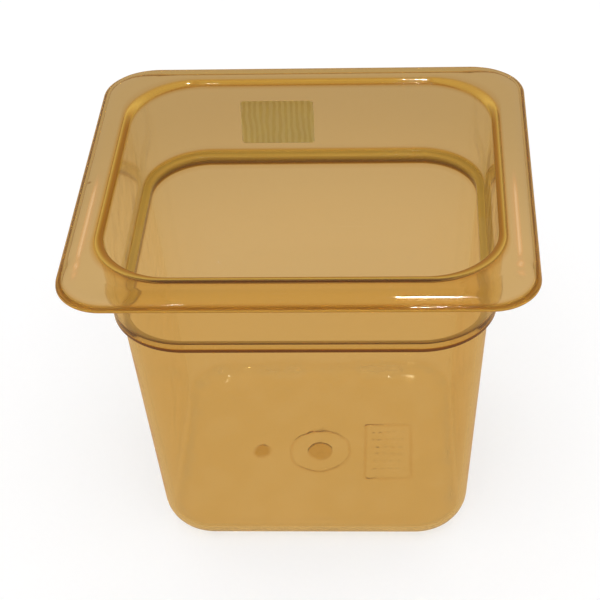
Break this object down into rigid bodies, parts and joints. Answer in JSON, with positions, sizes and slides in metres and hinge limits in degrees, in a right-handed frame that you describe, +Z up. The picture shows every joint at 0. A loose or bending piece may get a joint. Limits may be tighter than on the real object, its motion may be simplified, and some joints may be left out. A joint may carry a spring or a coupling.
{
  "type": "deli food pan",
  "caption": "Open-topped transparent amber food pan with a flanged rim, a stacking shoulder and tapered walls.",
  "frame": {"origin": "middle of the pan's footprint, on the surface it stands on", "axes": "+Z up, X along the longer side of the rim, Y along the shorter side"},
  "size_m": [0.176, 0.162, 0.15],
  "materials": {
    "amber_plastic": "clear amber high-heat plastic, glossy, lightly scuffed",
    "label_paper": "coated paper label with a plain bar pattern"
  },
  "bodies": {
    "root": {"pan": "amber_plastic", "label": "label_paper"}
  },
  "joints": []
}
